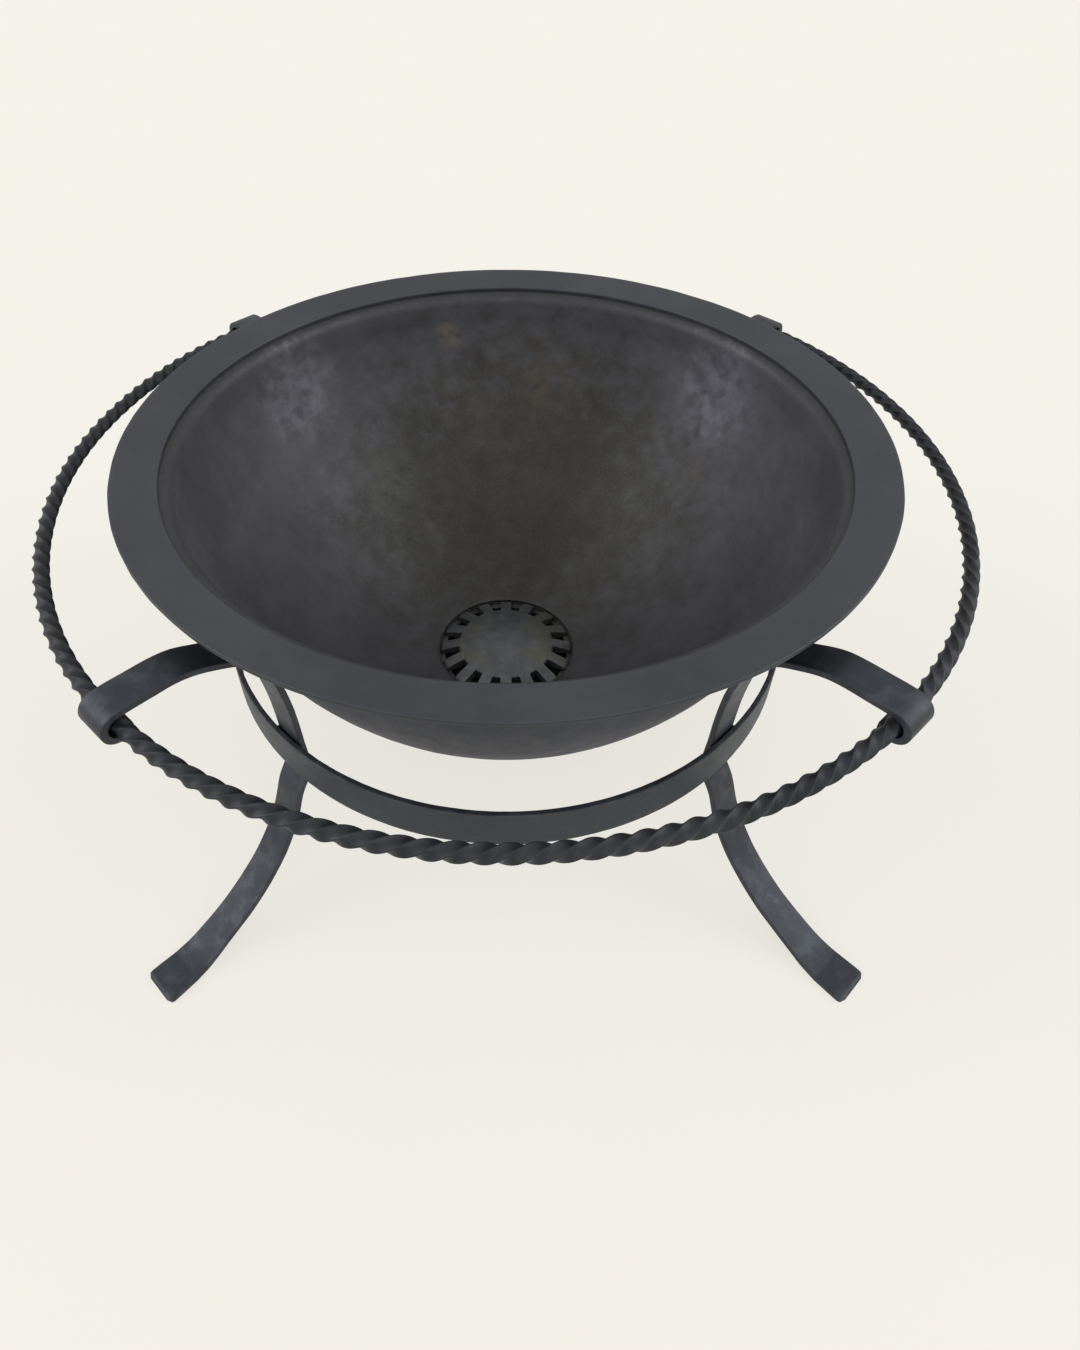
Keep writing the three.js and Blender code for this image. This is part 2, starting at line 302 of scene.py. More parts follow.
def cut_away(obj, ends):
    """Cuts the solid between two end outlines out of obj."""
    tool = outward(loft("cutter", ends, False))
    cut = obj.modifiers.new("cut", "BOOLEAN")
    cut.operation, cut.object, cut.solver = "DIFFERENCE", tool, "EXACT"
    apply_modifiers(obj)
    bpy.data.objects.remove(tool)


def lay_along_y(obj, height):
    """Lays a solid turned about Z along +Y at that height."""
    co, _ = vertex_arrays(obj)
    set_points(obj, np.stack([co[:, 0], co[:, 2], height - co[:, 1]], 1))
    outward(obj)


def sharp(obj, degrees=40):
    """Smooth shading that keeps edges sharper than this."""
    obj.data.set_sharp_from_angle(angle=math.radians(degrees))
    return obj


def distances(line):
    """How far along the line each of its points is."""
    gaps = np.linalg.norm(np.diff(line, axis=0), axis=1)
    return np.concatenate([[0], np.cumsum(gaps)])


def at_distances(line, wanted):
    """Points on the line, each as far along it as wanted."""
    along = distances(line)
    return np.stack([np.interp(wanted, along, line[:, k]) for k in range(line.shape[1])], 1)


# ------------------------------------------------------------ materials
class Nodes:
    """A short way to write a node tree."""

    def __init__(self, name):
        self.material = bpy.data.materials.new(name)
        self.material.use_nodes = True
        self.tree = self.material.node_tree
        self.shader = self.tree.nodes["Principled BSDF"]
        self.place = self.add("ShaderNodeTexCoord").outputs["Object"]

    def add(self, kind, **settings):
        node = self.tree.nodes.new(kind)
        for key, value in settings.items():
            setattr(node, key, value)
        return node

    def wire(self, source, socket):
        self.tree.links.new(source, socket)

    def noise(self, scale, detail=4.0, rough=0.55, offset=0.0):
        place = self.place
        if offset:
            move = self.add("ShaderNodeVectorMath", operation="ADD")
            self.wire(place, move.inputs[0])
            move.inputs[1].default_value = (offset, offset * 0.6, -offset)
            place = move.outputs[0]
        node = self.add("ShaderNodeTexNoise")
        node.inputs["Scale"].default_value = scale
        node.inputs["Detail"].default_value = detail
        node.inputs["Roughness"].default_value = rough
        self.wire(place, node.inputs["Vector"])
        return node.outputs["Fac"]

    def cells(self, scale):
        node = self.add("ShaderNodeTexVoronoi")
        node.inputs["Scale"].default_value = scale
        self.wire(self.place, node.inputs["Vector"])
        return node.outputs["Distance"]

    def span(self, value, low, high, to_low=0.0, to_high=1.0):
        node = self.add("ShaderNodeMapRange", interpolation_type="SMOOTHSTEP")
        self.wire(value, node.inputs["Value"])
        for key, number in (("From Min", low), ("From Max", high), ("To Min", to_low), ("To Max", to_high)):
            node.inputs[key].default_value = number
        return node.outputs["Result"]

    def blend(self, factor, a, b):
        node = self.add("ShaderNodeMix", data_type="RGBA")
        self.wire(factor, node.inputs[0])
        for socket, value in ((node.inputs[6], a), (node.inputs[7], b)):
            if isinstance(value, tuple):
                socket.default_value = value
            else:
                self.wire(value, socket)
        return node.outputs[2]

    def maths(self, operation, a, b):
        node = self.add("ShaderNodeMath", operation=operation)
        for socket, value in zip(node.inputs, (a, b)):
            if isinstance(value, (int, float)):
                socket.default_value = value
            else:
                self.wire(value, socket)
        return node.outputs[0]

    def near(self, point, radius):
        """1 at a point on the object, falling to 0 at that radius, with a ragged border."""
        gap = self.add("ShaderNodeVectorMath", operation="DISTANCE")
        self.wire(self.place, gap.inputs[0])
        gap.inputs[1].default_value = point
        ragged = self.maths("ADD", gap.outputs["Value"], self.maths(
            "MULTIPLY", self.maths("SUBTRACT", self.noise(40, 5, 0.6, 2.0), 0.5), radius * 1.2))
        return self.span(ragged, radius, radius * 0.2)

    def worn(self):
        return self.add("ShaderNodeAttribute", attribute_name="wear").outputs["Fac"]

    def bump(self, layers):
        """Layers of (height, strength, distance), laid one over the other."""
        last = None
        for height, strength, distance in layers:
            node = self.add("ShaderNodeBump")
            node.inputs["Strength"].default_value = strength
            node.inputs["Distance"].default_value = distance
            self.wire(height, node.inputs["Height"])
            if last is not None:
                self.wire(last, node.inputs["Normal"])
            last = node.outputs["Normal"]
        self.wire(last, self.shader.inputs["Normal"])


def forged(name, dark, light, rust, bare, metallic, rough, rust_share=0.66, edge=0.3, grain=1.0,
           gloss=0.5):
    """Blackened, hand-worked steel: scale in two tones, a little rust, brighter worn edges."""
    n = Nodes(name)
    broad = n.noise(7, 4, 0.55)
    patch = n.noise(48, 6, 0.6, 1.3)
    fine = n.noise(420, 6, 0.65, 4.1)
    tone = n.maths("ADD", n.maths("MULTIPLY", broad, 0.6), n.maths("MULTIPLY", patch, 0.4))
    colour = n.blend(n.span(tone, 0.36, 0.64), dark, light)
    colour = n.blend(n.maths("MULTIPLY", n.span(fine, 0.45, 0.72), 0.25), colour, light)
    rusty = n.maths(
        "MULTIPLY", n.span(n.noise(24, 8, 0.68, 7.7), rust_share, rust_share + 0.12),
        n.span(n.noise(260, 5, 0.7, 3.3), 0.4, 0.62),
    )
    colour = n.blend(n.maths("MULTIPLY", rusty, 0.6), colour, rust)
    rubbed = n.maths("MULTIPLY", n.worn(), n.span(n.noise(60, 6, 0.6, 5.9), 0.45, 0.68))
    colour = n.blend(n.maths("MULTIPLY", rubbed, edge), colour, bare)
    n.wire(colour, n.shader.inputs["Base Color"])
    n.shader.inputs["Metallic"].default_value = metallic
    n.shader.inputs["Specular IOR Level"].default_value = gloss
    low, high = rough
    value = n.maths("ADD", n.maths("MULTIPLY", patch, 0.5), n.maths("MULTIPLY", fine, 0.5))
    value = n.maths("ADD", n.span(value, 0.35, 0.65, low, high), n.maths("MULTIPLY", rusty, 0.2))
    n.wire(value, n.shader.inputs["Roughness"])
    n.bump([
        (n.noise(34, 3, 0.5, 0.7), 0.30 * grain, 1.0 * MM),
        (patch, 0.25 * grain, 0.35 * MM),
        (fine, 0.4 * grain, 0.10 * MM),
        (n.span(n.cells(620), 0.0, 0.42), 0.15 * grain, 0.08 * MM),
    ])
    return n


stand_steel = forged(
    "stand_steel", lin("2d3035"), lin("35393e"), lin("372e27"), lin("555a60"),
    metallic=0.6, rough=(0.44, 0.58), gloss=0.35,
).material
ring_steel = forged(
    "ring_steel", lin("222428"), lin("2e3034"), lin("302822"), lin("474b50"),
    metallic=0.55, rough=(0.44, 0.58), gloss=0.3,
).material
rim_steel = forged(
    "rim_steel", lin("34363b"), lin("3c3e43"), lin("372f29"), lin("46484b"),
    metallic=0.55, rough=(0.48, 0.60), rust_share=0.7, edge=0.2, grain=0.8,
).material
pot_steel = forged(
    "pot_steel", lin("2b2a2a"), lin("3a3836"), lin("4b3526"), lin("6b6762"),
    metallic=0.45, rough=(0.55, 0.78), rust_share=0.56,
).material
weld_steel = forged(
    "weld_steel", lin("33353a"), lin("46494e"), lin("45372b"), lin("6c6f73"),
    metallic=0.6, rough=(0.42, 0.60), rust_share=0.62, edge=0.2,
).material


SOOT_AND_SHADE_PLACE = (0.02, 0.20, 0.22)     # middle of the brown and olive soot tint and painted shade in the bowl
SOOT_AND_SHADE_RADIUS = 0.34
LOW_DARK_ZONE = (0.36, 0.22)           # heights between which the inside of the bowl grows darker toward the bottom
RIM_SHADE_ZONE = (0.426, 0.440)         # heights of the painted shade on the inside just under the rim
# Place, radius, tint and strength of each stain, and of two painted highlights on the upper side walls, the
# last two. The places were worked out from the photo and the camera.
STAINS_AND_HIGHLIGHTS = (
    ((-0.081, 0.330, 0.389), 0.034, "6a6157", 0.7),
    ((0.250, 0.163, 0.278), 0.020, "4a4038", 0.7),
    ((0.060, 0.300, 0.330), 0.060, "4c443b", 0.6),
    ((-0.166, 0.206, 0.230), 0.060, "474b40", 0.6),
    # the last two are painted highlights, not stains
    ((-0.268, 0.196, 0.372), 0.085, "6a6a72", 0.75),
    ((0.268, 0.196, 0.372), 0.095, "6c6a74", 0.75),
)


def dish_material():
    """The dish: inside darker toward the bottom, a brown and olive soot tint with painted shade toward the
    middle and back, painted shade under the rim, a few stains and two painted highlights.
    """
    n = forged(
        "dish_steel", lin("1f232c"), lin("282c37"), lin("3a302a"), lin("46484c"),
        metallic=0.45, rough=(0.50, 0.64), rust_share=0.66, edge=0.15,
    )
    outside = n.shader.inputs["Base Color"].links[0].from_socket
    patch = n.span(n.noise(11, 5, 0.6, 8.0), 0.38, 0.64)
    side = n.blend(patch, lin("444449"), lin("4e4e54"))
    # painted shade and soot tint: the middle and back of the inside darker and brown-olive, the sides
    # lighter
    middle = n.blend(patch, lin("2e2d27"), lin("36342d"))
    inside = n.blend(n.near(SOOT_AND_SHADE_PLACE, SOOT_AND_SHADE_RADIUS), side, middle)
    split = n.add("ShaderNodeSeparateXYZ")
    n.wire(n.place, split.inputs[0])
    height = split.outputs["Z"]
    # darker toward the bottom of the inside
    inside = n.blend(n.span(height, *LOW_DARK_ZONE, 0.0, 0.35), inside, lin("222220"))
    # painted shade: the inside darkens just under the rim
    inside = n.blend(n.span(height, *RIM_SHADE_ZONE, 0.0, 0.85), inside, lin("262629"))
    ash = n.maths("MULTIPLY", n.span(n.noise(300, 6, 0.7, 2.2), 0.48, 0.75), 0.3)
    inside = n.blend(ash, inside, lin("54534f"))
    # the stains, and the two painted highlights
    for point, radius, tint, strength in STAINS_AND_HIGHLIGHTS:
        mottle = n.span(n.noise(45, 5, 0.62, radius * 90), 0.30, 0.66)
        mask = n.maths("MULTIPLY", n.near(point, radius), mottle)
        inside = n.blend(n.maths("MULTIPLY", mask, strength), inside, lin(tint))
    fire = n.add("ShaderNodeAttribute", attribute_name="fire").outputs["Fac"]
    n.wire(n.blend(fire, outside, inside), n.shader.inputs["Base Color"])
    return n.material


dish_steel = dish_material()


def grate_material():
    """Cast iron, rubbed brighter on the crown."""
    n = forged(
        "grate_iron", lin("45484b"), lin("5b5d5f"), lin("544a3e"), lin("838489"),
        metallic=0.55, rough=(0.36, 0.52), rust_share=0.6, edge=0.4, grain=1.3,
    )
    colour = n.shader.inputs["Base Color"].links[0].from_socket
    olive = n.span(n.noise(22, 4, 0.5, 6.0), 0.45, 0.62)
    colour = n.blend(n.maths("MULTIPLY", olive, 0.6), colour, lin("5a5a4c"))
    n.wire(colour, n.shader.inputs["Base Color"])
    return n.material


grate_iron = grate_material()


def finish_piece(obj, body, material, slot, *nodes):
    """Gives a piece its material and body, and hides the CAD nodes that it replaces; the slot is not used.
    """
    obj.data.materials.clear()
    obj.data.materials.append(material)
    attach(obj, body)
    if nodes:
        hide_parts(*nodes)
    return obj


# ------------------------------------------------------------ hearth
WALL_START = 0.11             # radians of the wall's curve that the bend of the lip takes up
OUTSIDE_ROWS = 76             # rows of vertices down the outside of the dish
INSIDE_ROWS = 104             # and down the inside
BEND_DROP = 0.4 * MM          # the bend of the lip sits this much below the rim's slope


def dish_curve(offset, t):
    """Point of the dish wall, t from 0 at the shoulder to a quarter turn at the bottom."""
    radius, depth = DISH_RADIUS - offset, DISH_DEPTH - offset
    return (
        radius * math.cos(t) ** (2 / DISH_POWER),
        SHOULDER - depth * math.sin(t) ** (2 / DISH_POWER),
    )


def dish_wall(offset, count):
    """The wall from just under the shoulder down to the throat."""
    radius = DISH_RADIUS - offset
    end = math.acos((THROAT / radius) ** (DISH_POWER / 2))
    points = []
    for k in range(count):
        points.append((*dish_curve(offset, WALL_START + (end - WALL_START) * k / (count - 1)), 0))
    return points


def dish_under(r):
    """Height of the outside of the dish at a radius."""
    return SHOULDER - DISH_DEPTH * (1 - (r / DISH_RADIUS) ** DISH_POWER) ** (1 / DISH_POWER)


def rim_under(r):
    """Height of the underside of the rim at a radius."""
    return RIM_TOP - RIM_THICK - (RIM_RADIUS - r) * RIM_DIP / (RIM_RADIUS - RIM_INNER)


def dish():
    """The bowl with its turned-out lip, hammered, and marked where the fire reaches it."""
    lip = rim_under(LIP_RADIUS) - GAP
    bend = rim_under(DISH_RADIUS) - GAP
    outline = list(reversed(dish_wall(DISH_WALL, INSIDE_ROWS))) + [
        (DISH_RADIUS - DISH_WALL, bend - BEND_DROP, 12 * MM),
        (LIP_RADIUS, lip, 0.8 * MM),
        (LIP_RADIUS, lip - DISH_WALL, 0.8 * MM),
        (DISH_RADIUS + GAP, bend - DISH_WALL - BEND_DROP, 9 * MM),
    ] + dish_wall(0.0, OUTSIDE_ROWS)
    points, wear = rounded(outline)
    obj = turned("dish_shell", points, wear, ROUND)
    co, _ = vertex_arrays(obj)
    below_lip = np.clip((SHOULDER - 12 * MM - co[:, 2]) / (25 * MM), 0, 1)
    off_throat = np.clip((np.hypot(co[:, 0], co[:, 1]) - THROAT - 4 * MM) / (20 * MM), 0, 1)
    worked = below_lip * off_throat
    hammered(obj, 17 * MM, 0.42 * MM, worked)
    push(obj, worked * waves(co, 90 * MM, 1) * 0.45 * MM)
    co, no = vertex_arrays(obj)
    inward = ((np.array([0, 0, RIM_TOP]) - co) * no).sum(1) > 0
    layer = obj.data.attributes.new("fire", "FLOAT", "POINT")
    layer.data.foreach_set("value", inward.astype(np.float32))
    return finish_piece(obj, "hearth", dish_steel, "dish_steel", "dish")


def rim():
    """The flat ring, with a slightly uneven face and outer edge."""
    under = RIM_TOP - RIM_THICK
    points, wear = rounded([
        (RIM_INNER, RIM_TOP - RIM_DIP, 1.6 * MM), (RIM_RADIUS, RIM_TOP, 1.8 * MM),
        (RIM_RADIUS, under, 1.4 * MM), (RIM_INNER, under - RIM_DIP, 0.8 * MM),
    ])
    points, wear = dense(points, wear, 3.6 * MM)
    obj = turned("rim_ring", points, wear, ROUND)
    co, _ = vertex_arrays(obj)
    lift = waves(co, 160 * MM, 2) * 0.35 * MM + waves(co, 45 * MM, 3) * 0.12 * MM - 0.4 * MM
    edge = np.clip((np.hypot(co[:, 0], co[:, 1]) - (RIM_RADIUS - 3 * MM)) / (3 * MM), 0, 1)
    push(obj, -np.abs(edge * waves(co, 30 * MM, 4)) * 0.6 * MM)
    co, _ = vertex_arrays(obj)
    co[:, 2] += lift
    set_points(obj, co)
    return finish_piece(obj, "hearth", rim_steel, "black_steel", "rim")


# ------------------------------------------------------------ grate
GRATE_AZIMUTHS = GRATE_TEETH * 40
GRATE_ROWS = 34               # rows of vertices from the crown to the teeth
GRATE_INSET = 1.6 * MM        # rounding of the edge
GRATE_BASE = grate_low.z + 0.2 * MM


def grate_crown(r):
    return grate_low.z + GRATE_EDGE + GRATE_RISE * (1 - (r / GRATE_TIP) ** 2)


def grate_rows(reach):
    """Rows of (radius, height), over the crown, round the edge and into the hollow, and their wear."""
    rows, wear = [], []
    for s in np.linspace(0.02, 1.0, GRATE_ROWS):
        r = reach * s * (1 - GRATE_INSET / reach)
        rows.append((r, grate_crown(r)))
        wear.append(0.25 + 0.5 * s * s)
    for k in range(1, 6):
        turn = k / 5 * math.pi / 2
        drop = GRATE_INSET * (1 - math.cos(turn))
        rows.append((reach - GRATE_INSET * (1 - math.sin(turn)), grate_crown(reach) - drop))
        wear.append(1.0)
    for back, up, rubbed in ((0.0, 1.0, 0.6), (0.3, 0.3, 0.4), (1.0, 0.0, 0.0)):
        rows.append((reach - GRATE_INSET * back, GRATE_BASE + GRATE_INSET * up))
        wear.append(rubbed)
    for s in (0.8, 0.5, 0.2):
        r = (reach - GRATE_INSET) * s
        hollow = grate_crown(r) - grate_low.z - GRATE_EDGE
        rows.append((r, GRATE_BASE + hollow * (1 - s) ** 0.5))
        wear.append(0.0)
    return rows, wear


def grate():
    """A domed casting. Its outline steps between tooth tips and the roots of the slots."""
    angle = np.arange(GRATE_AZIMUTHS) / GRATE_AZIMUTHS * TAU
    phase = (angle * GRATE_TEETH / TAU) % 1.0
    blade = ease(np.clip((np.abs(phase - 0.5) * 2 - 0.40) / 0.16, 0, 1))
    rows, wear = grate_rows(GRATE_ROOT + (GRATE_TIP - GRATE_ROOT) * blade)
    verts = np.array([
        np.stack([np.cos(angle) * r, np.sin(angle) * r, np.broadcast_to(z, angle.shape)], 1)
        for r, z in rows
    ]).reshape(-1, 3).tolist()
    faces = []
    for k in range(len(rows) - 1):
        faces.extend(band(k * GRATE_AZIMUTHS, (k + 1) * GRATE_AZIMUTHS, GRATE_AZIMUTHS))
    top, bottom = len(verts), len(verts) + 1
    verts.append([0, 0, grate_crown(0)])
    verts.append([0, 0, float(rows[-1][1].mean())])
    last = (len(rows) - 1) * GRATE_AZIMUTHS
    around = [(a, (a + 1) % GRATE_AZIMUTHS) for a in range(GRATE_AZIMUTHS)]
    faces.extend([[b, a, top] for a, b in around])
    faces.extend([[last + a, last + b, bottom] for a, b in around])
    wears = np.concatenate([np.repeat(wear, GRATE_AZIMUTHS), [0.25, 0.0]])
    obj = outward(new_object("grate_casting", verts, faces, wears))
    co, _ = vertex_arrays(obj)
    above = co[:, 2] > grate_low.z + 3 * MM
    push(obj, above * (waves(co, 14 * MM, 5) * 0.35 - 0.2) * MM)
    return finish_piece(obj, "grate", grate_iron, "grate_iron", "grate")


# ------------------------------------------------------------ air pot, pipe and ash gate
PIPE_INNER = PIPE_OUTER - PIPE_WALL
BOLT_COUNT = 4


def air_pot():
    """The tube with the ledge for the grate and the flange under the dish, bored for the pipe."""
    inner, seat = POT_OUTER - POT_WALL, THROAT - 0.5 * MM
    points, wear = rounded([
        (inner, pot_low.z, 0.8 * MM), (POT_OUTER, pot_low.z, 1 * MM),
        (POT_OUTER, POT_LEDGE - 3 * MM, 4 * MM),
        (POT_FLANGE, dish_under(POT_FLANGE) - GAP - 4 * MM, 1 * MM),
        (POT_FLANGE, dish_under(POT_FLANGE) - GAP, 1 * MM),
        (seat, dish_under(seat) - GAP, 0.5 * MM), (seat, POT_LEDGE, 1 * MM), (inner, POT_LEDGE, 1 * MM),
    ])
    points, wear = dense(points, wear, 6 * MM)
    pot = turned("air_pot_shell", points, wear, 144)
    cut_away(pot, [upright_circle(PIPE_INNER, 0, y, PIPE_HEIGHT, 72) for y in (0.0, POT_OUTER * 1.4)])
    finish_piece(sharp(pot), "hearth", pot_steel, "pot_steel", "air_pot")


def pot_base():
    points, wear = rounded([
        (ASH_HOLE, base_low.z, 0.8 * MM), (base_high.x, base_low.z, 1 * MM),
        (base_high.x, base_high.z, 1 * MM), (ASH_HOLE, base_high.z, 0.8 * MM),
    ])
    plate = turned("pot_base_plate", points, wear, 144)
    finish_piece(plate, "hearth", pot_steel, "pot_steel", "pot_base")


def air_pipe():
    """The pipe, its near end cut to fit the round wall of the pot."""
    points, wear = rounded([
        (PIPE_INNER, 0.0, 0.0), (PIPE_OUTER, 0.0, 0.0),
        (PIPE_OUTER, pipe_high.y, 0.6 * MM), (PIPE_INNER, pipe_high.y, 0.6 * MM),
    ])
    points, wear = dense(points, wear, 8 * MM)
    pipe = turned("air_pipe_tube", points, wear, 72)
    lay_along_y(pipe, PIPE_HEIGHT)
    cut_away(pipe, [circle(POT_OUTER + GAP, z, 144) for z in (0.0, RIM_TOP)])
    finish_piece(sharp(pipe), "hearth", pot_steel, "pot_steel", "air_pipe")


def blower_flange():
    """The plate on the end of the pipe, with its bolt holes."""
    points, wear = rounded([
        (PIPE_INNER, flange_low.y, 0.6 * MM), (FLANGE_RADIUS, flange_low.y, 1 * MM),
        (FLANGE_RADIUS, flange_high.y, 1 * MM), (PIPE_INNER, flange_high.y, 0.6 * MM),
    ])
    points, wear = dense(points, wear, 5 * MM)
    plate = turned("blower_flange_plate", points, wear, 96)
    lay_along_y(plate, PIPE_HEIGHT)
    reach = (flange_low.y - 5 * MM, flange_high.y + 5 * MM)
    for k in range(BOLT_COUNT):
        turn = (k + 0.5) / BOLT_COUNT * TAU
        x, z = BOLT_CIRCLE * math.cos(turn), PIPE_HEIGHT + BOLT_CIRCLE * math.sin(turn)
        cut_away(plate, [upright_circle(BOLT_HOLE, x, y, z, 28) for y in reach])
    finish_piece(sharp(plate), "hearth", pot_steel, "pot_steel", "blower_flange")


def ash_gate_and_rails():
    """The CAD's own plates, kept, with softened edges."""
    for node in ("ash_gate", "gate_rail_left", "gate_rail_right"):
        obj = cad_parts[node]
        obj.data.materials.clear()
        obj.data.materials.append(pot_steel)
        bevel = obj.modifiers.new("edge", "BEVEL")
        bevel.width, bevel.segments, bevel.angle_limit = 0.5 * MM, 2, math.radians(30)


# ------------------------------------------------------------ stand
SCROLL = (-150, 72, 37)       # first and last angle and step of the curl round the ring, in degrees
HOOP_INNER = HOOP_OUTER - HOOP_THICK
HOOP_FLAT = HOOP_INNER * math.cos(math.pi / CAD_FACETS)     # distance to the middle of a CAD facet
WAIST = math.sqrt(HOOP_FLAT ** 2 - (LEG_WIDTH / 2) ** 2) - 2 * GAP - LEG_THICK / 2
# Radius and height of each bend in millimetres, as in the CAD: a fit of the bar's outline to the photo,
# rounded. None stands for the waist.
LEG_BENDS = (
    (446, 417), (412, 413.5), (384, 401), (360, 385), (341.5, 357), (331, 320), (324, 276),
    None,
    (336, 152), (351, 116), (380, 74), (424, 37), (470, 14), (490, 6.5),
)
LEGS = {                      # azimuth of each leg in degrees, and the hand to which it leans
    "front_left": (-90 - FRONT_AZIMUTH, -1),
    "front_right": (-90 + FRONT_AZIMUTH, 1),
    "rear_left": (90 + REAR_AZIMUTH, 1),
    "rear_right": (90 - REAR_AZIMUTH, -1),
}
ARRIS = 1.3 * MM              # rounding of the edges of the flat bars
FLARE = 3 * FOOT_FLAT         # length over which the foot grows wider and thinner
FOOT_THINNING = 1.6 * MM
TIP_LENGTH = 26 * MM          # length over which the curled end gets thinner
TIP_THINNING = 1.4 * MM


def leg_points():
    """Centre line of a leg as (radius, height): the curl, the arch, the waist and the foot."""
    scroll = RING_CORNER + LEG_THICK / 2 + 2 * GAP
    first, last, step = SCROLL
    points = []
    for angle in range(first, last + 1, step):
        turn = math.radians(angle)
        points.append((RING_RADIUS + scroll * math.cos(turn), RING_HEIGHT + scroll * math.sin(turn)))
    for bend in LEG_BENDS:
        if bend is None:
            points += [(WAIST, hoop_high.z), (WAIST, hoop_low.z)]
        else:
            points.append((bend[0] * MM, bend[1] * MM))
    points.append((FOOT_RADIUS - FOOT_FLAT, LEG_THICK / 2))
    return np.array(points)


def catmull(points, per_span):
    """Centripetal Catmull-Rom curve through the points."""
    first, last = 2 * points[0] - points[1], 2 * points[-1] - points[-2]
    p = np.vstack([first, points, last])
    out = []
    for k in range(1, len(p) - 2):
        knots = [0.0]
        for a, b in ((k - 1, k), (k, k + 1), (k + 1, k + 2)):
            knots.append(knots[-1] + max(1e-6, np.linalg.norm(p[b] - p[a]) ** 0.5))
        t0, t1, t2, t3 = knots
        for s in range(per_span):
            t = t1 + (t2 - t1) * s / per_span
            a1 = (t1 - t) / (t1 - t0) * p[k - 1] + (t - t0) / (t1 - t0) * p[k]
            a2 = (t2 - t) / (t2 - t1) * p[k] + (t - t1) / (t2 - t1) * p[k + 1]
            a3 = (t3 - t) / (t3 - t2) * p[k + 1] + (t - t2) / (t3 - t2) * p[k + 2]
            b1 = (t2 - t) / (t2 - t0) * a1 + (t - t0) / (t2 - t0) * a2
            b2 = (t3 - t) / (t3 - t1) * a2 + (t - t1) / (t3 - t1) * a3
            out.append((t2 - t) / (t2 - t1) * b1 + (t - t1) / (t2 - t1) * b2)
    out.append(points[-1])
    return np.array(out)


def lean_at(z):
    """How far round the leg has swung at a height on its way down, in degrees."""
    t = min(1.0, max(0.0, (z - hoop_high.z) / (LEAN_START - hoop_high.z)))
    low = min(1.0, max(0.0, 1 - z / hoop_low.z))
    return WAIST_LEAN * (1 - ease(t)) + (FOOT_LEAN - WAIST_LEAN) * low


def directions(degrees):
    """Unit vectors outward and sideways at an azimuth."""
    turn = math.radians(degrees)
    return (
        np.array([math.cos(turn), math.sin(turn), 0]),
        np.array([-math.sin(turn), math.cos(turn), 0]),
    )


def leg_section(s, rest, wobble):
    """Outline (across, depth) of a leg and its wear, s along from the curl and rest short of the toe."""
    foot = np.clip(1 - rest / FLARE, 0, 1)
    half = LEG_WIDTH / 2 + wobble + (FOOT_WIDTH - LEG_WIDTH) / 2 * ease(foot)
    face = LEG_THICK / 2 - FOOT_THINNING * foot
    back = LEG_THICK / 2 - TIP_THINNING * np.clip(1 - s / TIP_LENGTH, 0, 1)
    end = min(s, rest)
    corner = 6 * MM if rest < s else 3.5 * MM
    if end < corner:
        half -= corner - math.sqrt(max(0.0, corner ** 2 - (corner - end) ** 2)) * 0.999
    squeeze = min(1.0, 0.35 + end / (2.2 * MM))
    face, back = face * squeeze, back * squeeze
    return rounded([
        (-half, -back, ARRIS), (half, -back, ARRIS), (half, face, ARRIS), (-half, face, ARRIS),
    ], 4)


def leg(name, azimuth, hand, seed):
    """One bent flat bar, swept along its centre line, then hammered clear of the floor."""
    toe = np.linspace(FOOT_RADIUS - FOOT_FLAT, FOOT_RADIUS, 12)[1:]
    sole = np.stack([toe, np.full(len(toe), LEG_THICK / 2)], 1)
    line = np.vstack([catmull(leg_points(), 14), sole])
    total = distances(line)[-1]
    along = np.linspace(0, total, int(total / (2.6 * MM)) + 1)
    line = at_distances(line, along)
    slope = np.gradient(line, axis=0)
    slope /= np.linalg.norm(slope, axis=1)[:, None]
    up = np.array([0, 0, 1.0])
    wobble = waves([(s, seed, 0) for s in along], 34 * MM, seed) * 0.35 * MM
    rings, wears = [], []
    for k, (r, z) in enumerate(line):
        out_dir, side_dir = directions(azimuth + hand * lean_at(z))
        section, wear = leg_section(along[k], total - along[k], wobble[k])
        ring = []
        for across, depth in section:
            reach, height = r - slope[k][1] * depth, z + slope[k][0] * depth
            ring.append(out_dir * reach + up * height + side_dir * across)
        rings.append(ring)
        wears.append(wear)
    obj = outward(loft(name + "_bar", rings, False, wears))
    co, _ = vertex_arrays(obj)
    off_floor = np.clip((co[:, 2] - 0.2 * MM) / (2 * MM), 0, 1)
    hammered(obj, 13 * MM, 0.20 * MM, off_floor)
    co, _ = vertex_arrays(obj)
    push(obj, off_floor * waves(co, 24 * MM, seed + 3) * 0.18 * MM)
    co, _ = vertex_arrays(obj)
    co[:, 2] = np.maximum(co[:, 2], 0)
    set_points(obj, co)
    return finish_piece(obj, "stand", stand_steel, "black_steel", name)


def waist_hoop():
    points, wear = rounded([
        (HOOP_INNER, hoop_low.z, ARRIS), (HOOP_OUTER, hoop_low.z, ARRIS),
        (HOOP_OUTER, hoop_high.z, ARRIS), (HOOP_INNER, hoop_high.z, ARRIS),
    ])
    points, wear = dense(points, wear, 3.2 * MM)
    obj = turned("waist_hoop_bar", points, wear, 560)
    hammered(obj, 13 * MM, 0.28 * MM)
    co, _ = vertex_arrays(obj)
    push(obj, waves(co, 40 * MM, 6) * 0.15 * MM)
    return finish_piece(obj, "stand", stand_steel, "black_steel", "waist_hoop")


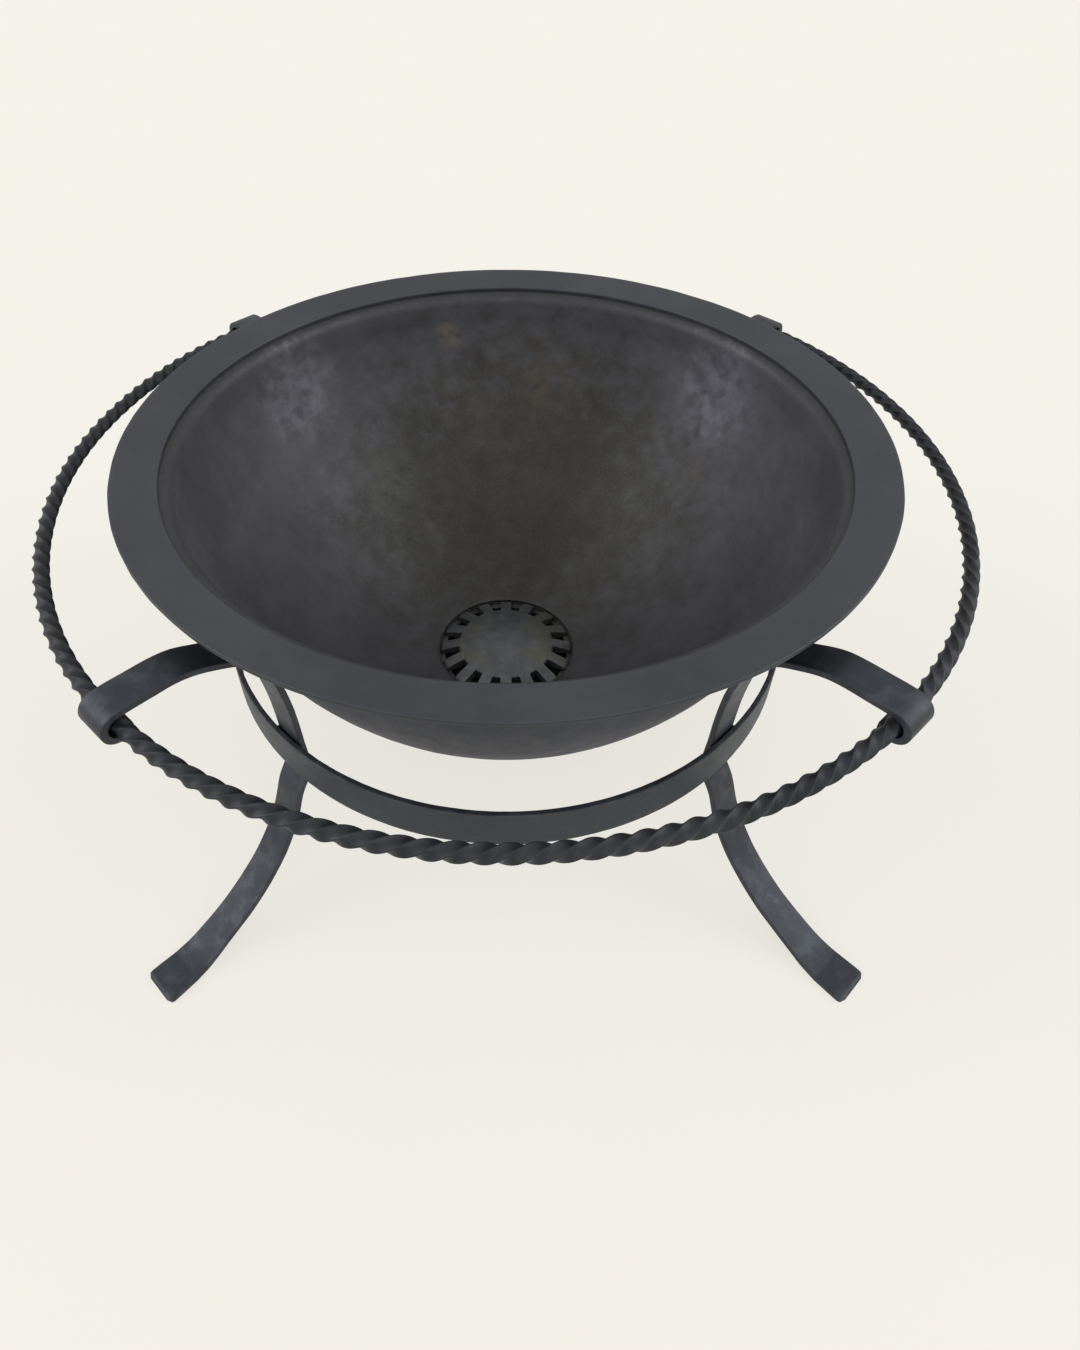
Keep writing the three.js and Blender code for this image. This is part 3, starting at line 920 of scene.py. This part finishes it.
def twisted_ring():
    """Square bar, a little dished on its faces, swept round with a slightly uneven twist."""
    stations = RING_TURNS * 34
    half, radius = RING_BAR / 2, 1.5 * MM
    section, wear = rounded([
        (-half, -half, radius), (half, -half, radius), (half, half, radius), (-half, half, radius),
    ], 3)
    section, wear = dense(section, wear, 3 * MM)
    off_middle = np.minimum(np.abs(section[:, 0]), np.abs(section[:, 1])) / half
    section = section * (1 - 0.06 * np.clip(1 - off_middle * 1.6, 0, 1))[:, None]
    azimuths = np.arange(stations) / stations * TAU
    unsure = waves([(math.cos(a) * 3, math.sin(a) * 3, 0) for a in azimuths], 0.5, 8)
    swell = waves([(math.cos(a), math.sin(a), 0) for a in azimuths], 0.45, 9)
    rings = []
    for k, a in enumerate(azimuths):
        twist = RING_TURNS * a + unsure[k] * 0.16
        c, s = math.cos(twist), math.sin(twist)
        reach = RING_RADIUS + swell[k] * 0.5 * MM + (section[:, 0] * c - section[:, 1] * s)
        height = RING_HEIGHT + (section[:, 0] * s + section[:, 1] * c)
        rings.append(np.stack([reach * math.cos(a), reach * math.sin(a), height], 1))
    obj = outward(loft("twisted_ring_bar", rings, True, [wear] * stations))
    co, _ = vertex_arrays(obj)
    push(obj, (waves(co, 9 * MM, 10) * 0.14 - 0.1) * MM)
    return finish_piece(obj, "stand", ring_steel, "black_steel", "twisted_ring")


# ------------------------------------------------------------ welds
RIPPLE = 3.4 * MM             # spacing of the ripples in a bead
BEAD_STEP = 0.9 * MM
BEAD_POINTS = 10              # points round a bead
BEAD_WEAR = 0.4


def weld(name, line, body, radius, loop, slot):
    """A bead of overlapping ripples along a line."""
    line = np.asarray(line, float)
    if loop:
        line = np.vstack([line, line[:1]])
    total = distances(line)[-1]
    wanted = np.linspace(0, total, max(8, int(total / BEAD_STEP)), endpoint=not loop)
    path = at_distances(line, wanted)
    if loop:
        tangent = np.roll(path, -1, 0) - np.roll(path, 1, 0)
    else:
        tangent = np.gradient(path, axis=0)
    tangent /= np.linalg.norm(tangent, axis=1)[:, None]
    turn = np.arange(BEAD_POINTS) / BEAD_POINTS * TAU
    rings = []
    for p, t, s in zip(path, tangent, wanted):
        side = np.cross(t, [0, 0, 1.0])
        if np.linalg.norm(side) < 0.2:
            side = np.cross(t, [math.cos(0.7), math.sin(0.7), 0])
        side /= np.linalg.norm(side)
        top = np.cross(side, t)
        size = radius * (0.86 + 0.14 * abs(math.sin(math.pi * s / RIPPLE)))
        if not loop:
            size *= math.sqrt(min(1.0, min(s, total - s) / radius + 0.03))
        rings.append(p + size * (np.cos(turn)[:, None] * side + np.sin(turn)[:, None] * top))
    obj = outward(loft(name, rings, loop, np.full((len(path), BEAD_POINTS), BEAD_WEAR)))
    return finish_piece(obj, body, weld_steel, slot)


def hearth_welds():
    """The beads under the rim, round the pot's flange and base, and round the pipe's two ends."""
    joint = upright_circle(PIPE_OUTER, 0, 0, PIPE_HEIGHT, 120)
    joint[:, 1] = np.sqrt(POT_OUTER ** 2 - joint[:, 0] ** 2) + 0.8 * MM
    under_rim = circle(LIP_RADIUS + 0.6 * MM, rim_under(LIP_RADIUS) - 1.2 * MM)
    under_dish = circle(POT_FLANGE + 0.8 * MM, dish_under(POT_FLANGE) - 1.0 * MM)
    on_base = circle(POT_OUTER + 0.2 * MM, base_high.z + 0.1 * MM)
    far_end = upright_circle(PIPE_OUTER, 0, flange_low.y - 0.6 * MM, PIPE_HEIGHT, 120)
    beads = (
        ("weld_rim", under_rim, 1.9 * MM, "black_steel"),
        ("weld_pot", under_dish, 2.4 * MM, "pot_steel"),
        ("weld_base", on_base, 1.7 * MM, "pot_steel"),
        ("weld_pipe", joint, 2.2 * MM, "pot_steel"),
        ("weld_flange", far_end, 2.0 * MM, "pot_steel"),
    )
    for name, line, radius, slot in beads:
        weld(name, line, "hearth", radius, True, slot)


def waist_welds():
    """A bead down each side of each leg, where it meets the hoop."""
    heights = np.linspace(hoop_low.z + 3 * MM, hoop_high.z - 3 * MM, 30)
    for corner, (azimuth, hand) in LEGS.items():
        out_dir, side_dir = directions(azimuth + hand * WAIST_LEAN)
        for side, word in ((-1, "a"), (1, "b")):
            across = side * (LEG_WIDTH / 2 + 0.4 * MM)
            reach = math.sqrt(HOOP_INNER ** 2 - across ** 2) - 1.2 * MM
            foot = out_dir * reach + side_dir * across
            line = [foot + np.array([0, 0, z]) for z in heights]
            weld(f"weld_{corner}_{word}", line, "stand", 2.1 * MM, False, "black_steel")


# ------------------------------------------------------------ stage, light and camera
FLOOR_HALF = 30.0
FLOOR_PAINT = ((0.15, 0.147, 0.138, 1), (0.154, 0.150, 0.141, 1))
FLOOR_GLOW = (0.69, 0.669, 0.622, 1)
SKY = (1.0, 0.99, 0.98, 1)
SKY_STRENGTH = 0.82
SOFT_LIGHTS = (               # name, azimuth and height in degrees, angular size, and power
    ("left_light", 180, 31, 46, 1.6),
    ("right_light", 0, 31, 46, 1.6),
    ("front_light", -90, 36, 50, 0.7),
)

CAMERA_BACK = 1.9736          # in rim radii, from the axis toward the front
CAMERA_UP = 1.232             # in rim radii, above the rim
CAMERA_PITCH = 41.06          # degrees below level
CAMERA_LENS = 23.13
CAMERA_SENSOR = 36
CAMERA_SHIFT = (0.0252, -0.0852)


def floor_paint():
    """Pale paint that glows a little, so that it looks the same all over."""
    n = Nodes("floor_paint")
    tone = n.span(n.noise(3, 3, 0.5), 0.3, 0.7)
    n.wire(n.blend(tone, FLOOR_PAINT[0], FLOOR_PAINT[1]), n.shader.inputs["Base Color"])
    n.shader.inputs["Roughness"].default_value = 0.9
    n.shader.inputs["Specular IOR Level"].default_value = 0.0
    n.shader.inputs["Emission Color"].default_value = FLOOR_GLOW
    n.shader.inputs["Emission Strength"].default_value = 1.0
    return n.material


def stage():
    """The floor, the pale sky and three wide soft lights."""
    size = FLOOR_HALF
    corners = [(-size, -size, 0), (size, -size, 0), (size, size, 0), (-size, size, 0)]
    mesh = bpy.data.meshes.new("floor")
    mesh.from_pydata(corners, [], [(0, 1, 2, 3)])
    mesh.materials.append(floor_paint())
    floor = bpy.data.objects.new("floor", mesh)
    floor.location.z = -0.3 * MM
    bpy.context.scene.collection.objects.link(floor)

    world = bpy.data.worlds.new("studio")
    world.use_nodes = True
    world.node_tree.nodes["Background"].inputs["Color"].default_value = SKY
    world.node_tree.nodes["Background"].inputs["Strength"].default_value = SKY_STRENGTH
    bpy.context.scene.world = world

    for name, azimuth, height, spread, power in SOFT_LIGHTS:
        light = bpy.data.lights.new(name, "SUN")
        light.energy, light.angle = power, math.radians(spread)
        obj = bpy.data.objects.new(name, light)
        turn, rise = math.radians(azimuth), math.radians(height)
        toward = Vector((math.cos(rise) * math.cos(turn), math.cos(rise) * math.sin(turn), math.sin(rise)))
        obj.rotation_euler = toward.to_track_quat("Z", "Y").to_euler()
        obj.location = toward * 3
        bpy.context.scene.collection.objects.link(obj)
    bpy.context.scene.view_settings.view_transform = "Standard"


def camera():
    data = bpy.data.cameras.new("camera")
    data.lens, data.sensor_width = CAMERA_LENS, CAMERA_SENSOR
    data.shift_x, data.shift_y = CAMERA_SHIFT
    obj = bpy.data.objects.new("camera", data)
    obj.location = (0, -CAMERA_BACK * RIM_RADIUS, RIM_TOP + CAMERA_UP * RIM_RADIUS)
    obj.rotation_euler = (math.radians(90 - CAMERA_PITCH), 0, 0)
    bpy.context.scene.collection.objects.link(obj)
    bpy.context.scene.camera = obj


camera()
stage()
dish()
rim()
grate()
air_pot()
pot_base()
air_pipe()
blower_flange()
ash_gate_and_rails()
for count, (corner, (azimuth, hand)) in enumerate(LEGS.items()):
    leg("leg_" + corner, azimuth, hand, 11 + count * 4)
waist_hoop()
twisted_ring()
hearth_welds()
waist_welds()
